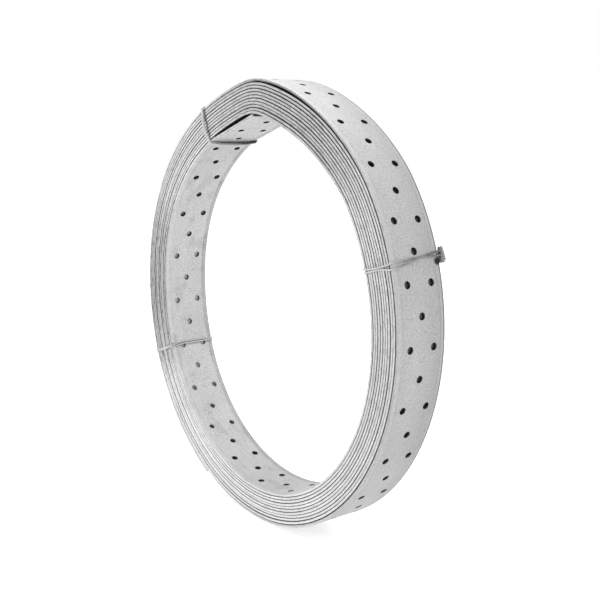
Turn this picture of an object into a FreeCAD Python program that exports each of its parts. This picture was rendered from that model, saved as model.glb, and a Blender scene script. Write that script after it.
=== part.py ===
import FreeCAD, Part

import math
import os

from FreeCAD import Vector

# A coil of perforated steel strap, standing on its rim and held by three wire ties.
# Millimetres. The coil's axis lies along Y, +Z is up and the origin is under the middle.
# Angles are measured in degrees from +X towards +Z.

# Strap
strap_width = 40.0
strap_thickness = 2.0
hole_diameter = 5.0
row_pitch = 20.0           # along the strap, from a pair of holes to the single hole after it
pair_spacing = 20.0        # across the strap, between the two holes of a pair

# Coil
outer_diameter = 330.0
turn_count = 12
turn_gap = 0.3             # between one turn and the next
turn_offset = 0.4          # how far every second turn stands out at one end

# Free ends of the strap, and how far the row of one hole lies from each cut
inner_end_angle = 87.6
inner_end_to_hole = 12.0
outer_end_angle = 246.7
outer_end_to_hole = 8.0
end_cut = 0.6              # how wide the cut at a free end shows

# Tie wires
wire_diameter = 1.2
strand_press = 0.1         # how far the two strands of a tie are pressed together
wire_bend = 1.6            # of a strand's centreline round the corners of the strap
wire_seat = 0.1            # clearance between a tie and the strap
right_tie_angle = 19.0
top_tie_angle = 113.0
left_tie_angle = 203.5
twist_length = 12.0        # of the twisted end that locks each tie
twist_spacing = 1.5        # between one wire of the twisted end and the next

# Holes that stand as mounts are round. The many others have this many flat sides.
hole_sides = 6
mount_rows = [13, 15, 21, 25, 29, 35]
# The twisted end of a tie
twist_quarter_turns = 5
twist_steps = 8

turn_pitch = strap_thickness + turn_gap
outer_radius = outer_diameter / 2
inner_radius = outer_radius - turn_count * turn_pitch + turn_gap
end_reach = (strap_width + turn_offset) / 2
wire_radius = wire_diameter / 2
strand_spacing = wire_diameter - strand_press
twist_wire_radius = twist_spacing / math.sqrt(2)
twist_radius = twist_wire_radius + wire_radius

# The twists stand further out than the ties, so the coil's middle lies a little off the origin
near_reach = end_reach + wire_seat + wire_diameter
far_reach = end_reach + wire_seat + 2 * twist_radius
coil_middle = Vector(0, (near_reach - far_reach) / 2, outer_radius)
coil_axis = Vector(0, 1, 0)


def outward(angle):
    """The direction out of the coil at this angle."""
    return Vector(math.cos(math.radians(angle)), 0, math.sin(math.radians(angle)))


def along(angle):
    """The direction round the coil at this angle, towards larger angles."""
    return Vector(-math.sin(math.radians(angle)), 0, math.cos(math.radians(angle)))


def place(angle, radius, across):
    """A point at this angle and radius, this far along the axis from the coil's middle."""
    return outward(angle) * radius + coil_axis * across


def wound_turns():
    """The turns as one turned ring. Every second turn stands out a little at each end."""
    near, far = [], []
    for turn in range(turn_count):
        start = inner_radius + turn * turn_pitch - (turn_gap / 2 if turn else 0)
        last = turn == turn_count - 1
        stop = outer_radius if last else inner_radius + (turn + 1) * turn_pitch - turn_gap / 2
        shift = turn_offset / 2 if turn % 2 else -turn_offset / 2
        near += [Vector(start, shift - strap_width / 2, 0), Vector(stop, shift - strap_width / 2, 0)]
        far += [Vector(start, shift + strap_width / 2, 0), Vector(stop, shift + strap_width / 2, 0)]
    outline = near + far[::-1]
    section = Part.Face(Part.makePolygon(outline + outline[:1]))
    return section.revolve(Vector(0, 0, 0), coil_axis, 360)


def hole_rows(end_angle, end_to_hole, radius, direction):
    """The angle of each row of holes round one turn, starting from a free end of the strap."""
    count = int((2 * math.pi * radius - end_to_hole) / row_pitch) + 1
    distances = [end_to_hole + row * row_pitch for row in range(count)]
    return [end_angle + direction * math.degrees(distance / radius) for distance in distances]


def round_cutter(start, heading, depth):
    """A round cutter the size of a hole."""
    return Part.makeCylinder(hole_diameter / 2, depth, start, heading)


def flat_sided_cutter(start, heading, depth):
    """A cutter with a few flat sides and the same area as a round hole."""
    turn = 2 * math.pi / hole_sides
    corner_radius = hole_diameter / 2 * math.sqrt(turn / math.sin(turn))
    side = heading.cross(coil_axis)
    corners = []
    for corner in range(hole_sides):
        offset = coil_axis * math.cos(corner * turn) + side * math.sin(corner * turn)
        corners.append(start + offset * corner_radius)
    return Part.Face(Part.makePolygon(corners + corners[:1])).extrude(heading * depth)


def row_cutters(angles, mouth_radius, direction, round_rows):
    """Cutters for rows of one hole and of two holes by turns, one strap and its gap deep."""
    cutters = []
    for row, angle in enumerate(angles):
        places = [-pair_spacing / 2, pair_spacing / 2] if row % 2 else [0.0]
        cutter = round_cutter if row in round_rows else flat_sided_cutter
        for across in places:
            start = place(angle, mouth_radius - direction * strap_thickness, across)
            cutters.append(cutter(start, outward(angle) * direction, strap_thickness + turn_pitch))
    return cutters


def end_cutter(angle, mouth_radius, direction):
    """A cutter for the narrow cut across the strap where a free end lies on the next turn."""
    corner = place(angle, mouth_radius - direction * strap_thickness, -strap_width)
    width, depth = along(angle) * end_cut, outward(angle) * direction * 2 * strap_thickness
    side = Part.makePolygon([corner, corner + width, corner + width + depth, corner + depth, corner])
    return Part.Face(side).extrude(coil_axis * 2 * strap_width)


def strap_coil():
    """The wound strap with its free ends and the holes that show on its outer and inner turns."""
    outer_rows = hole_rows(outer_end_angle, outer_end_to_hole, outer_radius - strap_thickness / 2, -1)
    inner_rows = hole_rows(inner_end_angle, inner_end_to_hole, inner_radius + strap_thickness / 2, 1)
    cutters = row_cutters(outer_rows, outer_radius, -1, mount_rows)
    cutters += row_cutters(inner_rows, inner_radius, 1, [])
    cutters += [end_cutter(outer_end_angle, outer_radius, 1), end_cutter(inner_end_angle, inner_radius, -1)]
    return wound_turns().cut(Part.Compound(cutters))


def two_strands():
    """Two strands side by side as the corners of one outline, (side, height) from its middle."""
    middle, rise = strand_spacing / 2, wire_radius * math.sqrt(3) / 2
    waist = rise * 2 * (wire_radius - middle) / wire_radius
    upper = [(middle + wire_radius / 2, rise), (middle - wire_radius / 2, rise)]
    upper += [(0.0, waist)]
    upper += [(wire_radius / 2 - middle, rise), (-wire_radius / 2 - middle, rise)]
    lower = [(-side, -height) for side, height in upper]
    return [(middle + wire_radius, 0.0)] + upper + [(-middle - wire_radius, 0.0)] + lower


def skin(rings, closed):
    """A solid whose flat faces join each ring of points to the next one."""
    faces = []
    links = list(zip(rings, rings[1:] + rings[:1])) if closed else list(zip(rings, rings[1:]))
    for ring, following in links:
        for index in range(len(ring)):
            other = (index + 1) % len(ring)
            a, b, c, d = ring[index], ring[other], following[other], following[index]
            faces.append(Part.Face(Part.makePolygon([a, b, c, a])))
            faces.append(Part.Face(Part.makePolygon([a, c, d, a])))
    if not closed:
        for ring in (rings[0], rings[-1]):
            faces.append(Part.Face(Part.makePolygon(ring + ring[:1])))
    solid = Part.makeSolid(Part.makeShell(faces))
    solid.fix(1e-6, 1e-6, 1e-6)
    return solid


def tie_corners():
    """The corners of a tie round the strap's section, as radius and distance along the axis."""
    stand_off = wire_seat + wire_radius
    low, high, side = inner_radius - stand_off, outer_radius + stand_off, end_reach + stand_off
    near = [(low, wire_bend - side), (low + wire_bend, -side)]
    near += [(high - wire_bend, -side), (high, wire_bend - side)]
    return near + [(radius, -across) for radius, across in near[::-1]]


def tie_loop(angle):
    """Both strands carried round the strap's section, with a mitre at each corner."""
    points = [place(angle, radius, across) for radius, across in tie_corners()]
    mitre = 1 / math.cos(math.pi / len(points))
    rings = []
    for before, point, after in zip(points[-1:] + points, points, points[1:] + points):
        ahead = (point - before).normalize() + (after - point).normalize()
        out = ahead.normalize().cross(along(angle)) * mitre
        rings.append([point + along(angle) * side + out * height for side, height in two_strands()])
    return skin(rings, True)


def four_wires():
    """The four wires of a twisted end as the corners of one outline, as angle and radius."""
    valley_radius = (twist_spacing + wire_radius) / 2
    outline = []
    for wire in range(4):
        outline += [(90 * wire, twist_radius), (90 * wire + 45, valley_radius)]
    return outline


def twist(root, heading):
    """The twisted end of a tie: the two ends of both strands wound about each other."""
    side = heading.cross(coil_axis)
    rings = []
    for step in range(twist_steps + 1):
        share = step / twist_steps
        centre = root + heading * (twist_length * share)
        ring = []
        for corner, radius in four_wires():
            turn = math.radians(corner + 90 * twist_quarter_turns * share)
            ring.append(centre + (side * math.cos(turn) + coil_axis * math.sin(turn)) * radius)
        rings.append(ring)
    return skin(rings, False)


def tie_wire(angle, twist_at, heading):
    """A tie of two strands, with its twisted end against the far end of the coil."""
    root = place(angle, twist_at, end_reach + wire_seat + twist_radius)
    return tie_loop(angle).fuse(twist(root, heading)).removeSplitter()


def save(name, shape):
    """Write one piece as a STEP file at its place in the standing coil."""
    placed = shape.copy()
    placed.translate(coil_middle)
    solids = placed.Solids
    if len(solids) != 1 or not solids[0].isValid():
        raise ValueError(f"{name} is not one valid solid")
    solids[0].exportStep(os.path.join("parts", f"{name}.step"))


os.makedirs("parts", exist_ok=True)
save("strap_coil", strap_coil())
rim_twist = outer_radius - 2 * twist_radius
bore_twist = inner_radius + 2 * twist_radius
save("tie_wire_right", tie_wire(right_tie_angle, rim_twist, along(right_tie_angle) * -1))
save("tie_wire_top", tie_wire(top_tie_angle, bore_twist, along(top_tie_angle)))
save("tie_wire_left", tie_wire(left_tie_angle, bore_twist, along(left_tie_angle)))
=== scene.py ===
import math

import bpy
import numpy as np
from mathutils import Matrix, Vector


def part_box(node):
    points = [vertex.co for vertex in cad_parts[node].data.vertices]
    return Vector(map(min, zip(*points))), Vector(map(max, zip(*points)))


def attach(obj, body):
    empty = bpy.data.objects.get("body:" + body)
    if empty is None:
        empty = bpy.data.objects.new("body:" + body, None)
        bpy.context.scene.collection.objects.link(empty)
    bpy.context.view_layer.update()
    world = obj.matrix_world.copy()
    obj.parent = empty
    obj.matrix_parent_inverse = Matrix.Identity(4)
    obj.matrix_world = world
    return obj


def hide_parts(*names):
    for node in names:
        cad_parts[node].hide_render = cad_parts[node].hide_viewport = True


# A coil of perforated galvanised strap, standing on its rim and held by three wire ties.
# Sizes are in millimetres and angles in degrees from +X towards +Z, until a mesh is made.
# Every piece is worked out as whole arrays of points along the strap or along a wire.

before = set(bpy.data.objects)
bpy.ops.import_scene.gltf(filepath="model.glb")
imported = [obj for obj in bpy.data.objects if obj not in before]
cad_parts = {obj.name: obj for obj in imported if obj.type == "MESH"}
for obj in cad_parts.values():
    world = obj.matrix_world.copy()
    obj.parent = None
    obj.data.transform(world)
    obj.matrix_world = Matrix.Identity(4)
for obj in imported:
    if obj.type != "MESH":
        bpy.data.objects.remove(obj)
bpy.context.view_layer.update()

MM = 0.001
coil_low, coil_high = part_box("strap_coil")
COIL_MIDDLE_Y = (coil_low.y + coil_high.y) / 2 / MM
COIL_AXIS = np.array([0.0, 1.0, 0.0])

# The strap
STRAP_WIDTH = 40.0
STRAP_THICKNESS = 2.0
EDGE_ROUNDING = 0.35
HOLE_DIAMETER = 5.0
ROW_PITCH = 20.0
PAIR_SPACING = 20.0
HOLE_CORNERS = 24
BLOCK_HALF = 5.0           # half the side of the square of strap that each hole is cut in

# The winding. A wound angle goes on growing from turn to turn, from the inner end to the outer end.
TURNS = 12
LAST_TURN = 360 * (TURNS - 1)
INNER_END = 87.6
OUTER_END = 246.7 + LAST_TURN
WOUND_STEP = 0.25
MIDDLE_TURN = 6
ROUND_RADIUS = 151.0       # of the middle turn
OUT_OF_ROUND = [(1, 3.9, -60.0), (2, 0.74, 75.7), (3, 0.64, 57.8)]   # lobes, height, angle of one
TURN_PITCH = 2.42
PITCH_CHANGE = [(1, 0.117, 160.7), (2, 0.088, 42.5)]
KINK_ANGLE = 87.8          # where every turn bends over the inner end
KINK_WIDTH = 12.0
KINK_HEIGHT = 6.7
KINK_CROWDING = 0.19
# Low swells: height of the innermost turn and of the outermost, angle and width
SWELLS = [(1.8, 1.1, 38.0, 11.0), (-1.45, -1.9, 100.0, 25.0), (0.84, 0.0, 150.0, 25.0),
          (-2.8, -1.1, 190.0, 25.0), (1.3, 0.3, 235.0, 25.0), (0.4, 0.1, 270.0, 25.0)]
OUTERMOST_LIFT = (0.9, 75.0 + LAST_TURN, 10.0)     # height, wound angle, width
TONGUE_TIP_RADIUS = 140.6  # the inner end runs straight from the tie to its tip
TONGUE_ROOT = 112.5
TONGUE_BLEND = 5.0
SIDE_WANDER = 0.22         # how far a turn strays to one side
SIDE_WAVES = [(0.71, 1.0, 0.0), (1.63, 0.6, 1.0)]  # of the stray: waves a turn, share, phase
END_PRESS = 0.25           # how much closer the outer end lies on the turn under it
PRESS_REACH = 45.0

# Shares of the gaps between the turns, from the inside out, at three angles round the coil
GAPS_LEFT = (130.0, [0.4, 0.5, 0.7, 0.4, 0.5, 0.6, 0.3, 0.7, 0.8, 0.3, 0.2])
GAPS_BELOW = (270.0, [0.5, 0.5, 0.8, 0.25, 0.5, 0.5, 0.3, 0.5, 0.8, 0.9])
GAPS_RIGHT = (400.0, [0.12, 0.85, 0.4, 0.3, 0.7, 0.45, 0.35, 0.5, 0.6, 1.15])

# Where a row of two holes lies on the innermost and on the outermost turn
INNER_PAIR = 100.95
OUTER_PAIR = 69.3 + LAST_TURN
HOLES_OFF_MIDDLE = 0.4     # how far all holes lie off the strap's middle, towards the far edge

# The ties
WIRE_DIAMETER = 1.2
WIRE_CLEARANCE = 0.1
WIRE_BEND = 1.7
BEND_STEPS = 13
WIRE_SIDES = 12
WIRE_END_RINGS = [75, 50, 25]      # degrees round the rounded end of a wire
WIRE_STEP = 0.012          # in places: a tie's places run from corner to corner of the strap

# A strand lies along a list of place, distance along the coil from the tie's angle, lift, and painted shade
# on the wire.
# Places run from 0 at the far outer corner to 1 near outer, 2 near inner, 3 far inner and back.
RIGHT_TIE = (19.0, [
    [(-0.12, 1.2, 3.2, 0.8), (0, 1.8, 0.4, 0.8), (0.25, 0.4, 0, 0.72), (0.5, -1.9, 1.1, 0.55),
     (0.75, -4.7, 0.2, 0.48), (1.0, -6.4, 0.2, 0.15), (1.25, -5.0, 0.3, 0), (1.5, -4.1, 0, 0),
     (1.75, -3.8, 0.1, 0), (2.0, -3.6, 0, 0), (2.5, -2.4, 0, 0.2), (3.0, -1.2, 0, 0.2),
     (3.7, -0.6, 0, 0.3), (3.88, -0.6, 3.2, 0.5)],
    [(-0.12, -0.6, 3.2, 0.8), (0, -0.8, 0.4, 0.75), (0.25, -0.8, 0.3, 0.7), (0.5, -1.0, 0, 0.55),
     (0.75, -1.8, 0, 0.45), (1.0, -2.7, 0, 0.15), (1.25, -3.0, 0, 0), (1.5, -2.8, 0.3, 0),
     (1.75, -2.1, 0, 0), (2.0, -1.0, 0.2, 0), (2.5, 0, 0, 0.2), (3.0, 0.6, 0, 0.2),
     (3.7, 0.6, 0, 0.3), (3.88, 0.6, 3.2, 0.5)],
])
TOP_TIE = (113.0, [
    [(-0.74, -0.6, 0, 0), (0, -0.6, 0, 0), (0.5, -0.6, 0, 0), (1.0, 0.6, 0.5, 0), (1.5, 2.7, 1.5, 0),
     (1.8, 1.6, 1.4, 0), (2.0, 0, 0.9, 0), (2.25, 0.1, 1.9, 0.1), (2.5, 0, 2.0, 0.3),
     (2.75, -0.5, 1.5, 0.8), (3.0, -1.3, 0.6, 0.9), (3.26, -1.4, 0, 0.6)],
    [(-0.74, 0.7, 0, 0), (0, 0.7, 0, 0), (0.5, 0.7, 0, 0), (1.0, -0.3, 0.3, 0), (1.5, 1.6, 1.2, 0),
     (1.8, 0.6, 1.0, 0), (2.0, -0.8, 0.3, 0.2), (2.25, -0.3, 0.4, 0.9), (2.5, -0.2, 0.5, 0.95),
     (2.75, -0.3, 0.3, 0.95), (3.0, -0.2, 0, 0.95), (3.26, -0.2, 0, 0.6)],
])
LEFT_TIE = (203.5, [
    [(-0.74, 0.7, 0, 0), (0, 0.7, 0, 0), (0.5, 0.7, 0, 0), (1.0, 0.2, 0, 0), (1.5, 1.8, 0.1, 0),
     (1.85, 2.0, 0.9, 0), (2.0, 1.6, 0.4, 0), (2.12, 0.6, 0.1, 0), (2.25, -0.4, 0, 0), (2.5, -0.5, 0, 0),
     (2.75, -0.3, 0, 0), (3.0, -0.1, 0, 0), (3.26, -0.1, 0, 0.3)],
    [(-0.74, -0.7, 0, 0), (0, -0.7, 0, 0), (0.5, -0.7, 0, 0), (1.0, -1.0, 0, 0),
     (1.5, 0.6, 0, 0), (1.85, 1.8, 0, 0), (2.0, 3.0, 0, 0), (2.12, 2.3, 0, 0),
     (2.25, 1.5, 0, 0), (2.5, 1.4, 0, 0), (2.75, 1.4, 0.2, 0), (3.0, 1.1, 0, 0), (3.26, 1.3, 0, 0.3)],
])
# A twisted end by where it starts and stops along the coil, where it lies from the inner to the
# outer turn, how far its middle stands off the strap at its start and at its end, and how far its
# wires lie from its middle at its start and at its end
RIGHT_TWIST = (4.7, -4.8, 0.9, 4.9, 4.2, 1.1, 2.4)
TOP_TWIST = (-4.0, 8.0, 0.25, 1.8, 1.8, 0.9, 1.1)
LEFT_TWIST = (-2.5, 9.5, 0.25, 1.8, 1.8, 0.9, 1.1)
# Painted shade on the wires of the twisted ends
TWIST_WIRE_SHADE = 0.45
TWIST_TURNS = 1.9
TWIST_CLOSING = 0.5        # how far its wires close up over its last sixth
TWIST_STEPS = 60

# Brightness, where 1 is white, and how much is added or taken away. In this block lengths are in
# metres, and most pairs of numbers say where an effect starts and where it is full.
ZINC = 0.56
ZINC_ROUGHNESS = 0.42
GRAIN_ROUGHNESS = 0.2      # how much rougher the grain makes it
EDGE_SMOOTHNESS = 0.1      # how much smoother a cut edge is
EDGE_MARGIN = 0.1          # from the strap's side to where a cut edge looks fully so, in millimetres
ZINC_METALLIC = 0.3
ZINC_BUMP = 0.00003
STRAP_GRAIN = 1.25
STRAP_CLOUDS = 0.2
GRAIN_NOISE = (1300, 3)    # how often it changes a metre, and its detail
CLOUD_NOISE = (50, 4)
INNER_SIDE = (0.0004, -0.0004)     # by the height off the middle of the strap's thickness
OUTER_SIDE = (-0.0004, 0.0004)

# Noise on the strap: how often it changes a metre along, across and through it, and its detail
STREAK_NOISE = (9, 700, 700, 3)
BROKEN_LINE_NOISE = (90, 400, 400, 2)
STAIN_NOISE = (45, 90, 300, 6)
VEIN_NOISE = (150, 150, 0, 4)
PATCH_NOISE = (60, 60, 0, 2)
MOTTLE_NOISE = (160, 1, 900, 3)
EDGE_DRIFT_NOISE = (14, 0, 0, 1)
LINE_DRIFT_NOISE = (3, 0, 0, 1)

STREAKS = 0.1
EDGE_STRIP = 0.08          # how much lighter the strap is beside its edges
EDGE_STRIP_FROM = (0.0150, 0.0170)
# Painted shade along the far edge inside the coil
FAR_INSIDE_PAINTED_SHADE = 3.6     # the far strip inside: the lightness goes this many times over
EDGE_LINE = 0.22           # how much darker a broken line along the strap is
EDGE_LINE_PLACE = 0.0161
EDGE_LINE_WIDTH = (0.0010, 0.0002)
LINE_PIECES = (0.3, 0.7)
STAINS = 0.14
STAIN_SHAPE = (0.55, 0.68)
SCRATCHES = 0.3
SCRATCH_WIDTH = (0.018, 0.004)     # in the noise's value off its middle
SCRATCH_PATCHES = (0.5, 0.62)
SCRATCHED_MIDDLE = (0.013, 0.009)
# Painted shadow of the right tie's twist: a dark patch on the strap beside it
TWIST_SHADOW = 0.93                # the dark spot beside the twist of the right tie
TWIST_SHADOW_ANGLE = 19.0 + LAST_TURN
TWIST_SHADOW_BACK = 4.2            # how far it lies back along the strap from that angle, in millimetres
TWIST_SHADOW_ACROSS = 0.0182
TWIST_SHADOW_REACH = (0.0034, 0.0016)

# By angle round the coil: how bright the outermost and the innermost face are, as painted light and shade
OUTER_PAINTED_LIGHT = [(0, 0.97), (30, 1.09), (60, 1.05), (90, 0.92), (270, 1.06), (300, 1.0), (320, 0.88),
               (338, 0.85), (360, 0.97)]
INNER_PAINTED_LIGHT = [(0, 0.9), (90, 0.88), (118, 0.88), (145, 1.03), (175, 1.12), (190, 1.19), (215, 1.27),
               (230, 1.13), (245, 0.96), (258, 0.86), (360, 0.86)]
FAR_SIDE_SHADE = 0.15      # how much darker the outer faces grow towards their far edge
FAR_SIDE_FROM = (-0.004, 0.02)
FAR_RIM_SHADE = 0.6        # and how much darker they are at the far rim itself
FAR_RIM_FROM = (0.0181, 0.0191)

# By angle round the coil: the painted light and shade on the cut edges, and how dark their mottling is
EDGE_PAINTED_LIGHT = [(0, 1.07), (30, 1.1), (60, 0.9), (90, 1.03), (125, 1.38), (145, 1.15), (165, 0.8), (185, 0.69),
              (203, 0.75), (217, 1.05), (250, 1.32), (300, 1.3), (335, 1.22), (360, 1.07)]
MOTTLE = [(0, 0.35), (150, 0.35), (172, 0.5), (203, 0.55), (222, 0.3), (260, 0.2), (330, 0.25), (360, 0.35)]
MOTTLE_SHAPE = (0.48, 0.66)
EDGE_DRIFT = 0.5           # how much a cut edge's brightness drifts along the strap
OUTERMOST_EDGE_SHADE = 0.25
# Where this shade starts, is full, starts to fade and is gone, in degrees before the outer end
OUTERMOST_EDGE_PLACES = (360, 320, 165, 135)

# By angle round the coil: painted light and shade on the walls of the holes in the innermost turn and
# elsewhere
INNER_WALL_PAINTED_LIGHT = [(0, 0.2), (90, 0.1), (130, 0.15), (170, 0.02), (203, 0.02), (213, 1.6), (238, 1.6),
                    (250, 0.2), (360, 0.2)]
OUTER_WALL_PAINTED_LIGHT = [(0, 0.2), (77, 0.2), (82, 1.3), (90, 1.3), (95, 0.2), (360, 0.2)]
INNER_WALLS_END = (1.05, 1.0)      # along the strap
WALL_HEIGHT = (0.00098, 0.0009)
WALL_ACROSS = (0.0192, 0.0188)

# Where a tie shades the strap: the angle, and how far the shade reaches on each side
TOP_SHADE_INSIDE = (113.25, 0.95)
LEFT_SHADE_INSIDE = (204.2, 0.9)
TOP_SHADE_ON_EDGES = (113.2, 0.5)
FULL_SHADE = 0.7           # where a shade is full, as a share of its reach
SHADE_INSIDE = 0.85        # how dark the shade inside is at the top tie
LEFT_SHADE_SHARE = 0.45    # and how much of this it has at the left tie
SHADE_ON_EDGES = 0.7
SHADED_FACE = (-0.0008, -0.00095)
SHADED_LENGTH = (0.5, 0.4)

# By angle round the coil: how much painted shade darkens the strap where it lies against another turn, and
# the painted light and shade on the next turn where a hole shows it from inside and from outside the coil
GAP_PAINTED_SHADE = [(0, 0.7), (35, 0.7), (70, 0.93), (115, 0.8), (150, 0.5), (180, 0.6), (215, 0.15), (250, 0.2),
           (290, 0.6), (330, 0.65), (360, 0.7)]
HOLE_PAINTED_LIGHT_INSIDE = [(0, 0.16), (110, 0.16), (150, 0.5), (170, 1.1), (185, 1.25), (203, 1.2), (214, 0.6),
                    (226, 0.25), (245, 0.16), (360, 0.16)]
HOLE_PAINTED_LIGHT_OUTSIDE = [(0, 0.55), (28, 0.45), (50, 0.16), (300, 0.16), (335, 0.4), (360, 0.55)]
SEEN_SIDE = (-0.0002, 0.0002)
COVERED_HEIGHT = (0.0006, 0.00093)
COVERED_TURN_FADE = 0.002
LINE_FROM = (0.0180, 0.0192)       # across the strap, where the edge's gap lines take over
LINE_DRIFT = 0.45          # how much the lines' darkness changes from turn to turn
LINE_DRIFT_SHAPE = (0.3, 0.65)
# Where one gap shows as a wide line of painted shade, from one wound angle to another
WIDE_LINES = [(1105, 1167), (3895, 4050)]
WIDE_LINE_HEIGHT = (0.0001, 0.0005)
WIDE_LINE_FADES = (0.09, 0.012)    # at its start and at its end

WIRE_TONE = 0.58
# How much the painted shade on a wire darkens it
WIRE_SHADE_DEPTH = 0.9
WIRE_METALLIC = 0.4
WIRE_ROUGHNESS = 0.38
WIRE_BUMP = 0.00002
WIRE_GRAIN = 0.25
WIRE_CLOUDS = 0.3

# The studio, in metres and watts
FLOOR_SIDE = 8.0
FLOOR_TONE = 0.9
FLOOR_ROUGHNESS = 0.9
FLOOR_LIFT = 0.55          # how much the floor shines where it is seen directly
WORLD_LIGHT = 0.74
LAMPS = [("overhead", (-0.5, 0.1, 1.55), 0.9, 13.0), ("front", (-0.4, -1.6, 0.8), 1.0, 5.0)]
LAMP_AIM = (0, 0, 0.165)

# The camera, which looks along a line past the coil's middle
CAMERA_AZIMUTH = 55.18
CAMERA_ELEVATION = 11.04
CAMERA_DISTANCE = 667.4    # millimetres
CAMERA_LENS = 52.24
CAMERA_SENSOR = 36.0
PICTURE_SIDE = 600
AIM_PIXEL = (270.9, 305.6)
AIM_RIGHT = 0.74           # of the coil's middle
AIM_DROP = 1.89
CAMERA_CLIP = (0.01, 20)   # metres


def swell(wound, height, place, width):
    """A swell that is highest at its place and falls off on both sides as one over one plus the
    square of the distance in widths."""
    return height / (1 + (((wound - place + 180) % 360 - 180) / width) ** 2)


def waves(angle, lobes):
    """The sum of cosine waves round the coil, each by its number of lobes, height and a lobe's angle."""
    return sum(height * np.cos(count * np.radians(angle - peak)) for count, height, peak in lobes)


def crowding(wound):
    """How far a turn lies outside its even place, as a multiple of the average gap.

    At each of three places round the coil the gaps are added up from the inside out, less the
    average gap each time. Between two places the value eases along a half cosine."""
    angles, values = [], []
    for turn in range(TURNS):
        for start, shares in (GAPS_LEFT, GAPS_BELOW, GAPS_RIGHT):
            if turn <= len(shares):
                angles.append(start + 360 * turn)
                values.append(sum(shares[:turn]) / (sum(shares) / len(shares)) - turn)
    angles, values = np.array(angles), np.array(values)
    index = np.clip(np.searchsorted(angles, wound) - 1, 0, len(angles) - 2)
    share = np.clip((wound - angles[index]) / (angles[index + 1] - angles[index]), 0, 1)
    ease = (1 - np.cos(np.pi * share)) / 2
    return values[index] * (1 - ease) + values[index + 1] * ease


def turn_radius(wound):
    """Radius of the middle of the strap's thickness.

    A round coil whose radius grows by one pitch a turn, with a few low waves in the radius and
    in the pitch, low swells whose height goes evenly from the innermost turn's to the outermost's,
    a kink, which is a swell too, and a bell-shaped lift of the outermost turn."""
    kink = swell(wound, 1.0, KINK_ANGLE, KINK_WIDTH)
    middle = ROUND_RADIUS + waves(wound, OUT_OF_ROUND) + KINK_HEIGHT * kink
    share = (wound - INNER_END) / (OUTER_END - INNER_END)
    for first, last, place, width in SWELLS:
        middle = middle + swell(wound, first + (last - first) * share, place, width)
    pitch = TURN_PITCH + waves(wound, PITCH_CHANGE) - KINK_CROWDING * kink
    gap = pitch - STRAP_THICKNESS
    press = END_PRESS * np.clip((wound - OUTER_END) / PRESS_REACH + 1, 0, 1) ** 2
    height, place, width = OUTERMOST_LIFT
    middle = middle + height * np.exp(-((wound - place) / width) ** 2)
    return middle + pitch * ((wound - INNER_END) / 360 - MIDDLE_TURN) + gap * crowding(wound) - press


def with_tongue(wound, radius):
    """The radii with the inner end made straight, from its tip to where it runs into the turn.

    A straight line through two points given by angle and radius has, at an angle between them,
    the radius r1 r2 sin(a2 - a1) / (r1 sin(a - a1) + r2 sin(a2 - a))."""
    root_radius = np.interp(TONGUE_ROOT, wound, radius)
    a, a1, a2 = (np.radians(x) for x in (wound, INNER_END, TONGUE_ROOT))
    spread = TONGUE_TIP_RADIUS * np.sin(a - a1) + root_radius * np.sin(a2 - a)
    straight = TONGUE_TIP_RADIUS * root_radius * np.sin(a2 - a1) / np.where(spread > 1, spread, 1)
    share = np.clip((TONGUE_ROOT + TONGUE_BLEND - wound) / (2 * TONGUE_BLEND), 0, 1)
    share = share * share * (3 - 2 * share)
    return np.where(share > 0, radius + (straight - radius) * share, radius)


class Winding:
    """The strap's middle line: place, outward normal and sideways stray at any length along it."""

    def __init__(self):
        self.wound = np.arange(INNER_END, OUTER_END + WOUND_STEP / 2, WOUND_STEP)
        radius = with_tongue(self.wound, turn_radius(self.wound))
        angle = np.radians(self.wound)
        self.points = np.stack([radius * np.cos(angle), radius * np.sin(angle)], axis=-1)
        steps = np.linalg.norm(np.diff(self.points, axis=0), axis=1)
        self.length = np.concatenate([[0], np.cumsum(steps)])
        ahead = np.gradient(self.points, axis=0)
        ahead /= np.linalg.norm(ahead, axis=1, keepdims=True)
        self.normals = np.stack([ahead[:, 1], -ahead[:, 0]], axis=-1)
        self.lift = -(self.points + self.normals * STRAP_THICKNESS / 2)[:, 1].min()
        turn = (self.wound - INNER_END) / 360
        self.stray = SIDE_WANDER * sum(
            share * np.sin(2 * np.pi * count * turn + phase) for count, share, phase in SIDE_WAVES)

    def at_angle(self, wound):
        """Length along the strap at a wound angle."""
        return np.interp(wound, self.wound, self.length)

    def place(self, length, across, height):
        """Points in the row frame at a length along, a distance across and a height off the middle."""
        x, z = (np.interp(length, self.length, self.points[:, i]) for i in range(2))
        out = self.normal(length)
        y = across + COIL_MIDDLE_Y + np.interp(length, self.length, self.stray)
        return np.stack([x + out[..., 0] * height, y, z + out[..., 2] * height + self.lift], axis=-1)

    def normal(self, length):
        """The direction out of the coil."""
        x, z = (np.interp(length, self.length, self.normals[:, i]) for i in range(2))
        size = np.hypot(x, z)
        return np.stack([x / size, np.zeros_like(x), z / size], axis=-1)


winding = Winding()
TWIST_SHADOW_PLACE = [(float(winding.at_angle(TWIST_SHADOW_ANGLE)) - TWIST_SHADOW_BACK) * MM, TWIST_SHADOW_ACROSS, STRAP_THICKNESS / 2 * MM]


def make_mesh(name, points, faces, smooth=True):
    """An object at the origin with these points, in millimetres, and these faces."""
    mesh = bpy.data.meshes.new(name)
    mesh.from_pydata((np.asarray(points) * MM).tolist(), [], faces)
    mesh.polygons.foreach_set("use_smooth", np.full(len(mesh.polygons), smooth))
    mesh.update()
    piece = bpy.data.objects.new(name, mesh)
    bpy.context.scene.collection.objects.link(piece)
    return piece


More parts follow.
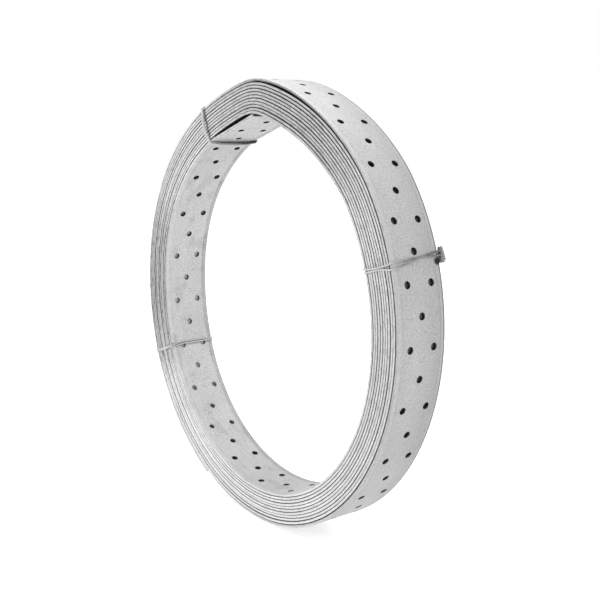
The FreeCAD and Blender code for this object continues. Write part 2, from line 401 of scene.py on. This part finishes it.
def strap_section():
    """The strap's section as points across and height, outer face first, towards the far edge."""
    half, edge = STRAP_WIDTH / 2, STRAP_WIDTH / 2 - EDGE_ROUNDING
    near_hole, beside = PAIR_SPACING / 2 - BLOCK_HALF, PAIR_SPACING / 2 + BLOCK_HALF
    across = np.array([-edge, -beside, -near_hole, near_hole, beside, edge])
    face, side = STRAP_THICKNESS / 2, STRAP_THICKNESS / 2 - EDGE_ROUNDING
    outer = [(v, face, 0, 1) for v in across]
    inner = [(v, -face, 0, -1) for v in across[::-1]]
    far = [(half, side, 1, 0), (half, -side, 1, 0)]
    near = [(-half, -side, -1, 0), (-half, side, -1, 0)]
    return np.array(outer + far + inner + near)


def hole_rows():
    """Lengths along the strap of all rows of holes. Even rows have one hole and odd rows two."""
    inner, outer = winding.at_angle(INNER_PAIR), winding.at_angle(OUTER_PAIR)
    between = 2 * round((outer - inner) / (2 * ROW_PITCH))
    pitch = (outer - inner) / between
    before = int(inner / pitch)
    after = int((winding.length[-1] - outer) / pitch)
    rows = inner + pitch * np.arange(-before, between + after + 1)
    kinds = (np.arange(len(rows)) - before) % 2
    return rows, kinds == 0


def hole_blocks(paired):
    """Each hole's row and place across, and its block's two columns on the outer and inner face."""
    single, pair = np.flatnonzero(~paired), np.flatnonzero(paired)
    # How many holes, the columns before and after them on each face, and the place across
    kinds = [(len(single), 2, 3, 11, 10, 0.0), (len(pair), 1, 2, 12, 11, -PAIR_SPACING / 2),
             (len(pair), 3, 4, 10, 9, PAIR_SPACING / 2)]
    low_out, high_out, low_in, high_in, across = (
        np.concatenate([np.full(kind[0], kind[i]) for kind in kinds]) for i in range(1, 6))
    return np.concatenate([single, pair, pair]), across, (low_out, high_out), (low_in, high_in)


def ring_quads(i, j, columns):
    """Quads from ring i to the next ring, between column j and the next column."""
    after = (j + 1) % columns
    return np.stack([i * columns + j, i * columns + after, (i + 1) * columns + after,
                     (i + 1) * columns + j], axis=-1)


def skin_quads(stations, columns, hole_row, left_columns):
    """The quads between the stations, less those of the holes' blocks."""
    left_out = np.zeros((stations - 1, columns), bool)
    for column in left_columns:
        left_out[4 * hole_row + 1, column] = True
        left_out[4 * hole_row + 2, column] = True
    return ring_quads(*np.nonzero(~left_out), columns)


def block_triangles(columns, hole_row, rim, low, high):
    """Triangles between the six corners of every block and the rim of its hole."""
    corners = [(4 * hole_row + station) * columns + column
               for station, column in ((3, high), (2, high), (1, high), (1, low), (2, low), (3, low))]
    serves = [0, 5, 7, 12, 17, 19, 24]     # the stretch of the rim's corners that each corner serves
    triangles = []
    for index, corner in enumerate(corners):
        triangles += [(rim[:, k], corner, rim[:, (k + 1) % HOLE_CORNERS])
                      for k in range(serves[index], serves[index + 1])]
        triangles.append((corners[index - 1], corner, rim[:, serves[index]]))
    return np.concatenate([np.stack(triangle, axis=-1) for triangle in triangles])


def strap_mesh():
    """The whole strap as one skin: its section carried along the winding, with every hole cut.

    Each row of holes has four stations along the strap. Where a hole's block lies, triangles
    between its six corners and the hole's rim take the place of quads on both faces, and the
    hole's wall joins the two rims."""
    rows, paired = hole_rows()
    section = strap_section()
    columns = len(section)
    stations = (rows[:, None] + np.array([-ROW_PITCH / 2, -BLOCK_HALF, 0, BLOCK_HALF])).ravel()
    stations = np.append(stations, winding.length[-1])
    stations[0] = 0
    along = np.repeat(stations, columns)
    across, height, sideways, upward = np.tile(section, (len(stations), 1)).T

    hole_row, hole_across, outer_block, inner_block = hole_blocks(paired)
    turn = 2 * np.pi * np.arange(HOLE_CORNERS) / HOLE_CORNERS
    rim_along = rows[hole_row][:, None] + HOLE_DIAMETER / 2 * np.cos(turn)
    rim_across = hole_across[:, None] + HOLES_OFF_MIDDLE + HOLE_DIAMETER / 2 * np.sin(turn)
    grid_size, rim_size = len(along), rim_along.size
    outer_rim = grid_size + np.arange(rim_size).reshape(rim_along.shape)
    inner_rim = outer_rim + rim_size

    along = np.concatenate([along, rim_along.ravel(), rim_along.ravel()])
    across = np.concatenate([across, rim_across.ravel(), rim_across.ravel()])
    face = STRAP_THICKNESS / 2
    height = np.concatenate([height, np.full(rim_size, face), np.full(rim_size, -face)])
    sideways = np.concatenate([sideways, np.zeros(2 * rim_size)])
    upward = np.concatenate([upward, np.ones(rim_size), -np.ones(rim_size)])
    points = winding.place(along, across, height)

    quads = skin_quads(len(stations), columns, hole_row, (outer_block[0], inner_block[1]))
    triangles = np.concatenate([block_triangles(columns, hole_row, outer_rim, *outer_block)[:, ::-1],
                                block_triangles(columns, hole_row, inner_rim, *inner_block)])
    ahead = np.roll(outer_rim, -1, axis=1), np.roll(inner_rim, -1, axis=1)
    wall = np.stack([ahead[0], outer_rim, inner_rim, ahead[1]], -1).reshape(-1, 4)

    start_cap = np.arange(columns)[::-1]
    end_cap = (len(stations) - 1) * columns + np.arange(columns)
    faces = quads.tolist() + triangles.tolist() + wall.tolist() + [start_cap.tolist(), end_cap.tolist()]
    strap = make_mesh("strap", points, faces)

    out = winding.normal(along)
    skin_normals = sideways[:, None] * COIL_AXIS + upward[:, None] * out
    forward = np.cross(out, COIL_AXIS)
    turns = np.tile(turn, 2 * len(hole_row))
    wall_normals = np.zeros_like(skin_normals)
    rims = slice(grid_size, None)
    wall_normals[rims] = -np.cos(turns)[:, None] * forward[rims] - np.sin(turns)[:, None] * COIL_AXIS
    parts = [(quads, skin_normals), (triangles, skin_normals), (wall, wall_normals),
             (start_cap, -forward), (end_cap, forward)]
    strap.data.normals_split_custom_set(np.concatenate([n[f.ravel()] for f, n in parts]).tolist())
    spread = strap.data.attributes.new("on_strap", "FLOAT_VECTOR", "POINT")
    spread.data.foreach_set("vector", (np.stack([along, across, height], -1) * MM).ravel())
    return strap


strap = strap_mesh()


def smooth_through(knots, at):
    """Values of a smooth curve through rows of place and values.

    Between two rows it is a cubic whose slopes at the rows are those between the rows' neighbours."""
    knots = np.asarray(knots, float)
    place, values = knots[:, 0], knots[:, 1:]
    slopes = np.gradient(values, place, axis=0)
    index = np.clip(np.searchsorted(place, at) - 1, 0, len(place) - 2)
    span = (place[index + 1] - place[index])[:, None]
    t = (at - place[index])[:, None] / span
    before = (2 * t ** 3 - 3 * t ** 2 + 1) * values[index] + (t ** 3 - 2 * t ** 2 + t) * span * slopes[index]
    index = index + 1
    return before + (3 * t ** 2 - 2 * t ** 3) * values[index] + (t ** 3 - t ** 2) * span * slopes[index]


class TieLoop:
    """The closed path of a tie round the strap's section, and the places along it."""

    def __init__(self, angle):
        inner = INNER_END + (angle - INNER_END) % 360
        outer = OUTER_END - (OUTER_END - angle) % 360
        self.lengths = winding.at_angle(inner), winding.at_angle(outer)
        turns = np.arange(inner, outer + 1, 360)
        stray = np.interp(turns, winding.wound, winding.stray)
        self.near, self.far = stray.min() - STRAP_WIDTH / 2, stray.max() + STRAP_WIDTH / 2
        low, high = self.surfaces(np.zeros(1))
        self.depth = np.linalg.norm(high - low)
        self.outline()

    def surfaces(self, along):
        """Points of the innermost and outermost faces, this far along the coil."""
        faces = []
        for length, height in zip(self.lengths, (-STRAP_THICKNESS / 2, STRAP_THICKNESS / 2)):
            face = winding.place(length + along, 0.0, height)
            face[:, 1] = 0
            faces.append(face)
        return faces

    def outline(self):
        """A rounded rectangle: for each point its place, its distances and its outward direction."""
        off = WIRE_CLEARANCE + WIRE_DIAMETER / 2
        size = self.depth + 2 * off, self.far - self.near + 2 * off
        bend = np.radians(np.linspace(45, -45, BEND_STEPS))
        half_arc = WIRE_BEND * math.pi / 4
        rows = []
        for corner in range(-1, 5):
            facing = math.radians(45 - 90 * corner) + bend
            outer, far = corner % 4 in (0, 1), corner % 4 in (0, 3)
            radial = self.depth + off - WIRE_BEND if outer else WIRE_BEND - off
            across = self.far + off - WIRE_BEND if far else self.near - off + WIRE_BEND
            spans = [size[(corner + turn) % 2] for turn in (0, 1)]
            passed = -WIRE_BEND * bend
            stretch = np.where(passed < 0, spans[0], spans[1]) - 2 * WIRE_BEND + 2 * half_arc
            rows.append(np.stack([corner + passed / stretch, radial + WIRE_BEND * np.cos(facing),
                                  across + WIRE_BEND * np.sin(facing), np.cos(facing), np.sin(facing)], -1))
        self.rows = np.concatenate(rows)

    def points(self, along, radial, across):
        """Points of the row frame, with the way out of the coil at each."""
        low, high = self.surfaces(along)
        out = (high - low) / np.linalg.norm(high - low, axis=1, keepdims=True)
        share = np.clip(radial / self.depth, 0, 1)[:, None]
        path = low * (1 - share) + high * share + out * (radial[:, None] - share * self.depth)
        path[:, 1] = COIL_MIDDLE_Y + across
        return path, out

    def strand(self, knots):
        """The middle line of a strand, and its painted shade."""
        places = np.arange(knots[0][0], knots[-1][0], WIRE_STEP)
        along, lift, wire_shade = smooth_through(knots, places).T
        radial, across, out_part, axis_part = (
            np.interp(places, self.rows[:, 0], self.rows[:, column]) for column in range(1, 5))
        path, out = self.points(along, radial, across)
        path = path + lift[:, None] * (out_part[:, None] * out + axis_part[:, None] * COIL_AXIS)
        return path, np.clip(wire_shade, 0, 1)

    def twist(self, start, stop, depth_share, stand_off, stand_off_end, spread, spread_end):
        """The four wires of a twisted end, wound about a straight line.

        They spread evenly from its start and close up a little over its last sixth."""
        share = np.linspace(0, 1, TWIST_STEPS)
        along = start + (stop - start) * share
        middle, out = self.points(along, np.full(TWIST_STEPS, depth_share * self.depth),
                                  self.far + stand_off + (stand_off_end - stand_off) * share)
        spread = spread + (spread_end - spread) * share
        spread = spread * (1 - TWIST_CLOSING * np.clip(share * 6 - 5, 0, 1) ** 2)
        wires = []
        for wire in range(4):
            turn = 2 * np.pi * (TWIST_TURNS * share + wire / 4)
            wires.append(middle + spread[:, None] * (
                np.cos(turn)[:, None] * out + np.sin(turn)[:, None] * COIL_AXIS))
        return wires


def wire_skin(path, guide, wire_shade):
    """A round wire along a path, with rounded ends: its points, its faces and its painted shade.

    Each ring is turned by the guide direction, less its part along the path."""
    ahead = np.gradient(path, axis=0)
    ahead /= np.linalg.norm(ahead, axis=1, keepdims=True)
    side = guide - (ahead * guide).sum(axis=1, keepdims=True) * ahead
    side /= np.linalg.norm(side, axis=1, keepdims=True)
    up = np.cross(ahead, side)
    radius = WIRE_DIAMETER / 2
    bulge = np.radians(WIRE_END_RINGS)
    first = [(0, -math.sin(b), math.cos(b)) for b in bulge]
    last = [(-1, math.sin(b), math.cos(b)) for b in bulge[::-1]]
    rings = first + [(i, 0, 1) for i in range(len(path))] + last
    index = np.array([ring[0] for ring in rings]) % len(path)
    shift, size = (np.array([ring[i] for ring in rings])[:, None, None] for i in (1, 2))
    turn = 2 * np.pi * np.arange(WIRE_SIDES) / WIRE_SIDES
    spoke = np.cos(turn)[:, None] * side[index][:, None] + np.sin(turn)[:, None] * up[index][:, None]
    points = path[index][:, None] + radius * (size * spoke + shift * ahead[index][:, None])
    count = len(rings)
    i, j = np.meshgrid(np.arange(count - 1), np.arange(WIRE_SIDES), indexing="ij")
    quads = ring_quads(i, j, WIRE_SIDES).reshape(-1, 4)
    caps = [list(range(WIRE_SIDES))[::-1], list(range((count - 1) * WIRE_SIDES, count * WIRE_SIDES))]
    return points.reshape(-1, 3), quads.tolist() + caps, np.repeat(wire_shade[index], WIRE_SIDES)


def tie_mesh(name, angle, strands, twist):
    """A tie as one object: its two strands round the strap and the four wires of its twisted end."""
    loop = TieLoop(angle)
    cos, sin = math.cos(math.radians(angle)), math.sin(math.radians(angle))
    guide, radial = np.array([-sin, 0, cos]), np.array([cos, 0, sin])
    wires = [(path, guide, wire_shade) for path, wire_shade in (loop.strand(knots) for knots in strands)]
    wires += [(path, radial, np.full(len(path), TWIST_WIRE_SHADE)) for path in loop.twist(*twist)]
    points, faces, wire_shade = [], [], []
    for path, direction, shade in wires:
        start = sum(len(p) for p in points)
        skin, skin_faces, skin_shade = wire_skin(path, direction, shade)
        points.append(skin)
        faces += [[start + corner for corner in face] for face in skin_faces]
        wire_shade.append(skin_shade)
    tie = make_mesh(name, np.concatenate(points), faces)
    tie.data.attributes.new("wire_shade", "FLOAT", "POINT").data.foreach_set("value", np.concatenate(wire_shade))
    return tie


right_tie = tie_mesh("right_tie", *RIGHT_TIE, RIGHT_TWIST)
top_tie = tie_mesh("top_tie", *TOP_TIE, TOP_TWIST)
left_tie = tie_mesh("left_tie", *LEFT_TIE, LEFT_TWIST)


def grey(value):
    """A neutral colour."""
    return (value, value, value, 1)


class Shades:
    """A short way to add shader nodes: each call gives the new node's output."""

    def __init__(self, tree):
        self.tree = tree

    def add(self, kind, inputs=None, output=0, **settings):
        """A node with its settings, and with its inputs joined to sockets or set to values."""
        node = self.tree.nodes.new(kind)
        for key, value in settings.items():
            setattr(node, key, value)
        for key, value in (inputs or {}).items():
            if isinstance(value, bpy.types.NodeSocket):
                self.tree.links.new(value, node.inputs[key])
            else:
                node.inputs[key].default_value = value
        return node.outputs[output]

    def maths(self, operation, *values):
        """One step of arithmetic on single values."""
        return self.add("ShaderNodeMath", dict(enumerate(values)), operation=operation)

    def product(self, *values):
        """All the values multiplied together."""
        result = values[0]
        for value in values[1:]:
            result = self.maths("MULTIPLY", result, value)
        return result

    def plus(self, value, share, amount):
        """The value, with this amount more where the share is 1."""
        return self.maths("MULTIPLY_ADD", share, amount, value)

    def off_half(self, value):
        """How far the value lies from a half."""
        return self.maths("SUBTRACT", value, 0.5)

    def darkened(self, tone, share, amount):
        """The tone, darker by this amount of itself where the share is 1."""
        return self.product(tone, self.plus(1.0, share, -amount))

    def times_where(self, tone, share, factor):
        """The tone, times this factor where the share is 1."""
        return self.product(tone, self.plus(1.0, share, self.maths("SUBTRACT", factor, 1.0)))

    def blend(self, share, low, high):
        """The low value where the share is 0, and the high one where it is 1."""
        return self.add("ShaderNodeMix", {0: share, 2: low, 3: high})

    def ramp(self, value, low, high):
        """A smooth rise from 0 at the low value to 1 at the high one, or a fall if they are swapped."""
        return self.add("ShaderNodeMapRange", {"Value": value, "From Min": low, "From Max": high},
                        interpolation_type="SMOOTHSTEP")

    def noise(self, vector, scale, detail):
        """Smooth noise between 0 and 1, mostly near a half."""
        return self.add("ShaderNodeTexNoise", {"Vector": vector, "Scale": scale, "Detail": detail})


def unevenness():
    """A node group: how much lighter or darker zinc is from place to place, round 1, by fine grain
    and by clouds some two centimetres across."""
    group = bpy.data.node_groups.new("unevenness", "ShaderNodeTree")
    group.interface.new_socket("Place", in_out="INPUT", socket_type="NodeSocketVector")
    for way, names in (("INPUT", ("Grain", "Clouds")), ("OUTPUT", ("Tone", "Grain"))):
        for name in names:
            group.interface.new_socket(name, in_out=way, socket_type="NodeSocketFloat")
    given, result = group.nodes.new("NodeGroupInput"), group.nodes.new("NodeGroupOutput")
    shades = Shades(group)
    grain = shades.noise(given.outputs["Place"], *GRAIN_NOISE)
    clouds = shades.noise(given.outputs["Place"], *CLOUD_NOISE)
    tone = shades.plus(1.0, shades.off_half(grain), given.outputs["Grain"])
    tone = shades.plus(tone, shades.off_half(clouds), given.outputs["Clouds"])
    group.links.new(tone, result.inputs["Tone"])
    group.links.new(grain, result.inputs["Grain"])
    return group


UNEVENNESS = unevenness()


def uneven(shades, place, grain, clouds):
    """The unevenness group's two outputs in this material."""
    node = shades.tree.nodes.new("ShaderNodeGroup")
    node.node_tree = UNEVENNESS
    shades.tree.links.new(place, node.inputs["Place"])
    node.inputs["Grain"].default_value = grain
    node.inputs["Clouds"].default_value = clouds
    return node.outputs["Tone"], node.outputs["Grain"]


def new_material(name):
    """A material with its shader, its node tree's helper and the place on the piece."""
    material = bpy.data.materials.new(name)
    material.use_nodes = True
    shades = Shades(material.node_tree)
    place = shades.add("ShaderNodeTexCoord", output="Object")
    return material, material.node_tree.nodes["Principled BSDF"], shades, place


def tint(shades, shader, value):
    """Give the shader a neutral colour of this brightness."""
    colour = shades.add("ShaderNodeCombineColor", {"Red": value, "Green": value, "Blue": value})
    shades.tree.links.new(colour, shader.inputs["Base Color"])


def grain_bump(shades, shader, grain, height):
    """Raise the grain by this height in metres."""
    bump = shades.add("ShaderNodeBump", {"Strength": 1.0, "Distance": height, "Height": grain})
    shades.tree.links.new(bump, shader.inputs["Normal"])


def length_at(angle):
    """The length along the strap at a wound angle, in metres."""
    return float(winding.at_angle(angle)) * MM


class StrapShades(Shades):
    """Shader steps that know the place on the strap: along it, across it and its height."""

    def __init__(self, tree, place):
        super().__init__(tree)
        self.on_strap = self.add("ShaderNodeAttribute", output="Vector", attribute_name="on_strap")
        self.along, self.across, self.height = (
            self.add("ShaderNodeSeparateXYZ", {"Vector": self.on_strap}, output=i) for i in range(3))
        self.from_middle = self.maths("ABSOLUTE", self.across)
        self.inner_side = self.ramp(self.height, *INNER_SIDE)
        self.outer_side = self.ramp(self.height, *OUTER_SIDE)
        x, z = (self.add("ShaderNodeSeparateXYZ", {"Vector": place}, output=i) for i in (0, 2))
        angle = self.maths("ARCTAN2", self.maths("SUBTRACT", z, winding.lift * MM), x)
        share = self.maths("ADD", self.maths("DIVIDE", angle, 2 * math.pi), 1.0)
        self.share_of_turn = self.maths("FRACT", share)

    def noise_on(self, noise):
        """Noise by how often it changes along, across and through the strap, and its detail."""
        *often, detail = noise
        place = self.add("ShaderNodeVectorMath", {0: self.on_strap, 1: often}, operation="MULTIPLY")
        return self.noise(place, 1.0, detail)

    def near_angle(self, angle, reach):
        """1 at this angle, falling to 0 at its reach on each side."""
        off = self.maths("ABSOLUTE", self.maths("SUBTRACT", self.share_of_turn, angle / 360))
        return self.ramp(off, reach / 360, FULL_SHADE * reach / 360)

    def by_angle(self, tones):
        """A value that changes smoothly between given angles round the coil."""
        node = self.tree.nodes.new("ShaderNodeValToRGB")
        self.tree.links.new(self.share_of_turn, node.inputs["Fac"])
        node.color_ramp.interpolation = "EASE"
        highest = max(tone for _, tone in tones)
        stops = node.color_ramp.elements
        for index, (angle, tone) in enumerate(tones):
            stop = stops[index] if index < 2 else stops.new(angle / 360)
            stop.position = angle / 360
            stop.color = grey(tone / highest)
        return self.maths("MULTIPLY", node.outputs["Color"], highest)

    def rolled(self, tone):
        """Streaks, and a strip with a broken dark line beside each edge.

        The strip is paler than the strap, but painted shade makes it darker at the far edge inside the coil."""
        streaks = self.noise_on(STREAK_NOISE)
        tone = self.plus(tone, self.off_half(streaks), STREAKS)
        far_inside = self.product(self.inner_side, self.maths("GREATER_THAN", self.across, 0.0))
        strip = self.product(self.ramp(self.from_middle, *EDGE_STRIP_FROM),
                             self.plus(1.0, far_inside, -FAR_INSIDE_PAINTED_SHADE))
        tone = self.plus(tone, strip, EDGE_STRIP)
        off_line = self.maths("ABSOLUTE", self.maths("SUBTRACT", self.from_middle, EDGE_LINE_PLACE))
        pieces = self.ramp(self.noise_on(BROKEN_LINE_NOISE), *LINE_PIECES)
        return self.plus(tone, self.product(self.ramp(off_line, *EDGE_LINE_WIDTH), pieces), -EDGE_LINE)

    def stained(self, tone):
        """Grey stains and fine scratches on the inner side."""
        shape = self.noise_on(STAIN_NOISE)
        tone = self.plus(tone, self.product(self.ramp(shape, *STAIN_SHAPE), self.inner_side), -STAINS)
        veins = self.maths("ABSOLUTE", self.off_half(self.noise_on(VEIN_NOISE)))
        patches = self.ramp(self.noise_on(PATCH_NOISE), *SCRATCH_PATCHES)
        middle = self.ramp(self.from_middle, *SCRATCHED_MIDDLE)
        scratches = self.product(self.ramp(veins, *SCRATCH_WIDTH), patches, middle, self.inner_side)
        return self.plus(tone, scratches, -SCRATCHES)

    def side_tones(self, tone):
        """Painted light and shade on both sides of the strap by angle, and painted shade on the outer side
        towards its far edge.
        """
        side = self.blend(self.inner_side, self.by_angle(OUTER_PAINTED_LIGHT), self.by_angle(INNER_PAINTED_LIGHT))
        far_side = self.product(self.ramp(self.across, *FAR_SIDE_FROM), self.outer_side)
        far_rim = self.product(self.ramp(self.across, *FAR_RIM_FROM), self.outer_side)
        tone = self.darkened(self.product(tone, side), far_side, FAR_SIDE_SHADE)
        return self.darkened(tone, far_rim, FAR_RIM_SHADE)

    def tie_shade(self):
        """1 where the top tie shades the innermost face, and less where the left tie does."""
        near_tie = self.plus(self.near_angle(*TOP_SHADE_INSIDE), self.near_angle(*LEFT_SHADE_INSIDE),
                             LEFT_SHADE_SHARE)
        innermost = self.product(self.ramp(self.height, *SHADED_FACE), self.ramp(self.along, *SHADED_LENGTH))
        return self.product(near_tie, innermost)

    def twist_shadow(self):
        """1 on the painted shadow beside the twist of the right tie."""
        distance = self.add("ShaderNodeVectorMath", {0: self.on_strap, 1: TWIST_SHADOW_PLACE}, output="Value",
                            operation="DISTANCE")
        return self.ramp(distance, *TWIST_SHADOW_REACH)

    def hole_walls(self, tone):
        """Painted light and shade on the walls of the holes by angle: one list for the innermost turn, one
        for the others.
        """
        wall_light = self.blend(self.ramp(self.along, *INNER_WALLS_END), self.by_angle(OUTER_WALL_PAINTED_LIGHT),
                               self.by_angle(INNER_WALL_PAINTED_LIGHT))
        wall = self.product(self.ramp(self.maths("ABSOLUTE", self.height), *WALL_HEIGHT),
                            self.ramp(self.from_middle, *WALL_ACROSS))
        return self.times_where(tone, wall, wall_light)

    def covered_faces(self):
        """1 where the strap lies against another turn, falling to 0 towards what shows, and on the wide
        lines of painted shade.
        """
        last_turn, first_turn = length_at(OUTER_END - 360), length_at(INNER_END + 360)
        outer = self.product(self.ramp(self.height, *COVERED_HEIGHT),
                             self.ramp(self.along, last_turn + COVERED_TURN_FADE, last_turn))
        below = self.maths("MULTIPLY", self.height, -1.0)
        inner = self.product(self.ramp(below, *COVERED_HEIGHT),
                             self.ramp(self.along, first_turn - COVERED_TURN_FADE, first_turn))
        gap_shade = self.maths("ADD", outer, inner)
        for angles in WIDE_LINES:
            start, stop = (length_at(angle) for angle in angles)
            line = self.product(self.ramp(below, *WIDE_LINE_HEIGHT),
                                self.ramp(self.along, start, start + WIDE_LINE_FADES[0]),
                                self.ramp(self.along, stop, stop - WIDE_LINE_FADES[1]))
            gap_shade = self.maths("MAXIMUM", gap_shade, line)
        return gap_shade

    def gap_shade(self):
        """How much painted shade darkens the strap between two turns and in gap lines, and the painted light
        and shade in the holes.
        """
        drift = self.ramp(self.noise_on(LINE_DRIFT_NOISE), *LINE_DRIFT_SHAPE)
        lines = self.product(self.by_angle(GAP_PAINTED_SHADE), self.plus(1 - LINE_DRIFT, drift, LINE_DRIFT))
        hole_light = self.blend(self.ramp(self.height, *SEEN_SIDE), self.by_angle(HOLE_PAINTED_LIGHT_INSIDE),
                          self.by_angle(HOLE_PAINTED_LIGHT_OUTSIDE))
        depth = self.blend(self.ramp(self.from_middle, *LINE_FROM), self.maths("SUBTRACT", 1.0, hole_light), lines)
        return self.product(self.covered_faces(), depth)

    def cut_edges(self):
        """The cut edges' tone: painted light and shade by angle, mottled, drifting, and painted shade
        outermost and by the top tie.
        """
        mottle = self.product(self.ramp(self.noise_on(MOTTLE_NOISE), *MOTTLE_SHAPE),
                              self.by_angle(MOTTLE))
        tone = self.maths("SUBTRACT", self.by_angle(EDGE_PAINTED_LIGHT), mottle)
        drift = self.noise_on(EDGE_DRIFT_NOISE)
        tone = self.product(tone, self.plus(1 - EDGE_DRIFT / 2, drift, EDGE_DRIFT))
        start, full, fading, gone = (length_at(OUTER_END - back) for back in OUTERMOST_EDGE_PLACES)
        outermost = self.product(self.ramp(self.along, start, full), self.ramp(self.along, gone, fading))
        tone = self.darkened(tone, outermost, OUTERMOST_EDGE_SHADE)
        return self.darkened(tone, self.near_angle(*TOP_SHADE_ON_EDGES), SHADE_ON_EDGES)


def zinc_material():
    """Matt zinc: grain, clouds, rolled streaks, stains and mottled cut edges, with painted light and shade
    by angle and painted shade in the holes, the gaps and under the ties.
    """
    material, shader, _, place = new_material("galvanised_strap")
    shades = StrapShades(material.node_tree, place)
    tone, grain = uneven(shades, place, STRAP_GRAIN, STRAP_CLOUDS)
    tone = shades.side_tones(shades.stained(shades.rolled(tone)))
    # Painted shade under the ties, beside the right tie's twist, in the gaps and in the holes
    tie_shade, twist_shadow, gap_shade = shades.tie_shade(), shades.twist_shadow(), shades.gap_shade()
    tone = shades.darkened(shades.darkened(tone, tie_shade, SHADE_INSIDE), twist_shadow, TWIST_SHADOW)
    tone = shades.product(shades.hole_walls(tone), shades.maths("SUBTRACT", 1.0, gap_shade))
    edge_from = STRAP_WIDTH / 2 - EDGE_ROUNDING
    edge = shades.ramp(shades.from_middle, edge_from * MM, (STRAP_WIDTH / 2 - EDGE_MARGIN) * MM)
    tone = shades.times_where(tone, edge, shades.cut_edges())
    tint(shades, shader, shades.product(tone, ZINC))
    grain_bump(shades, shader, grain, ZINC_BUMP)
    rough = shades.plus(shades.plus(ZINC_ROUGHNESS, grain, GRAIN_ROUGHNESS), edge, -EDGE_SMOOTHNESS)
    shades.tree.links.new(rough, shader.inputs["Roughness"])
    # Where shade is painted, the strap is also more metallic, so that it reflects less light
    dark = shades.maths("MAXIMUM", shades.maths("MAXIMUM", gap_shade, twist_shadow), tie_shade)
    shades.tree.links.new(shades.plus(ZINC_METALLIC, dark, 1 - ZINC_METALLIC), shader.inputs["Metallic"])
    return material


def wire_material():
    """Drawn zinc wire, darkened and made more metallic by painted shade."""
    material, shader, shades, place = new_material("tie_wire")
    tone, grain = uneven(shades, place, WIRE_GRAIN, WIRE_CLOUDS)
    wire_shade = shades.add("ShaderNodeAttribute", output="Fac", attribute_name="wire_shade")
    tint(shades, shader, shades.product(shades.darkened(tone, wire_shade, WIRE_SHADE_DEPTH), WIRE_TONE))
    grain_bump(shades, shader, grain, WIRE_BUMP)
    shader.inputs["Roughness"].default_value = WIRE_ROUGHNESS
    shades.tree.links.new(shades.plus(WIRE_METALLIC, wire_shade, 1 - WIRE_METALLIC), shader.inputs["Metallic"])
    return material


strap.data.materials.append(zinc_material())
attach(strap, "root")
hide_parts("strap_coil")
wire = wire_material()
for tie, node in ((right_tie, "tie_wire_right"), (top_tie, "tie_wire_top"), (left_tie, "tie_wire_left")):
    tie.data.materials.append(wire)
    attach(tie, "root")
    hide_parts(node)


def lamp(name, place, aim, size, power):
    """A square soft lamp that faces a point."""
    data = bpy.data.lights.new(name, "AREA")
    data.shape, data.size, data.energy = "SQUARE", size, power
    item = bpy.data.objects.new(name, data)
    item.location = place
    item.rotation_euler = (Vector(aim) - Vector(place)).to_track_quat("-Z", "Y").to_euler()
    bpy.context.scene.collection.objects.link(item)


def seen_directly(shades):
    """1 where the camera, a mirror or glass looks, and 0 for light that reaches the object."""
    path = shades.tree.nodes.new("ShaderNodeLightPath")
    rays = [path.outputs[ray] for ray in ("Is Camera Ray", "Is Glossy Ray", "Is Transmission Ray")]
    return shades.maths("MAXIMUM", shades.maths("MAXIMUM", rays[0], rays[1]), rays[2])


def studio():
    """A pale floor that looks white but keeps the shadow, white surroundings and soft lamps."""
    side = FLOOR_SIDE / 2 / MM
    corners = [(-side, -side, 0), (side, -side, 0), (side, side, 0), (-side, side, 0)]
    floor = make_mesh("floor", corners, [(0, 1, 2, 3)], smooth=False)
    material, shader, shades, _ = new_material("pale_floor")
    shader.inputs["Base Color"].default_value = grey(FLOOR_TONE)
    shader.inputs["Roughness"].default_value = FLOOR_ROUGHNESS
    shader.inputs["Specular IOR Level"].default_value = 0.0
    shader.inputs["Emission Color"].default_value = grey(1)
    lift = shades.product(seen_directly(shades), FLOOR_LIFT)
    shades.tree.links.new(lift, shader.inputs["Emission Strength"])
    floor.data.materials.append(material)

    world = bpy.data.worlds.new("studio")
    bpy.context.scene.world = world
    world.use_nodes = True
    background = world.node_tree.nodes["Background"]
    background.inputs["Color"].default_value = grey(1)
    shades = Shades(world.node_tree)
    strength = shades.plus(WORLD_LIGHT, seen_directly(shades), 1 - WORLD_LIGHT)
    shades.tree.links.new(strength, background.inputs["Strength"])
    for name, place, size, power in LAMPS:
        lamp(name, place, LAMP_AIM, size, power)


studio()
bpy.context.scene.view_settings.view_transform = "Standard"


def camera():
    """The camera at the photograph's angle, with its frame shifted as the photograph's is."""
    data = bpy.data.cameras.new("camera")
    item = bpy.data.objects.new("camera", data)
    bpy.context.scene.collection.objects.link(item)
    bpy.context.scene.camera = item
    data.lens, data.sensor_width = CAMERA_LENS, CAMERA_SENSOR
    data.shift_x = (PICTURE_SIDE / 2 - AIM_PIXEL[0]) / PICTURE_SIDE
    data.shift_y = (AIM_PIXEL[1] - PICTURE_SIDE / 2) / PICTURE_SIDE
    azimuth, elevation = math.radians(CAMERA_AZIMUTH), math.radians(CAMERA_ELEVATION)
    back = np.array([math.sin(azimuth) * math.cos(elevation), -math.cos(azimuth) * math.cos(elevation),
                     math.sin(elevation)])
    aim = np.array([AIM_RIGHT, COIL_MIDDLE_Y, winding.lift - AIM_DROP])
    item.location = (aim + back * CAMERA_DISTANCE) * MM
    item.rotation_euler = (math.pi / 2 - elevation, 0, azimuth)
    data.clip_start, data.clip_end = CAMERA_CLIP


camera()
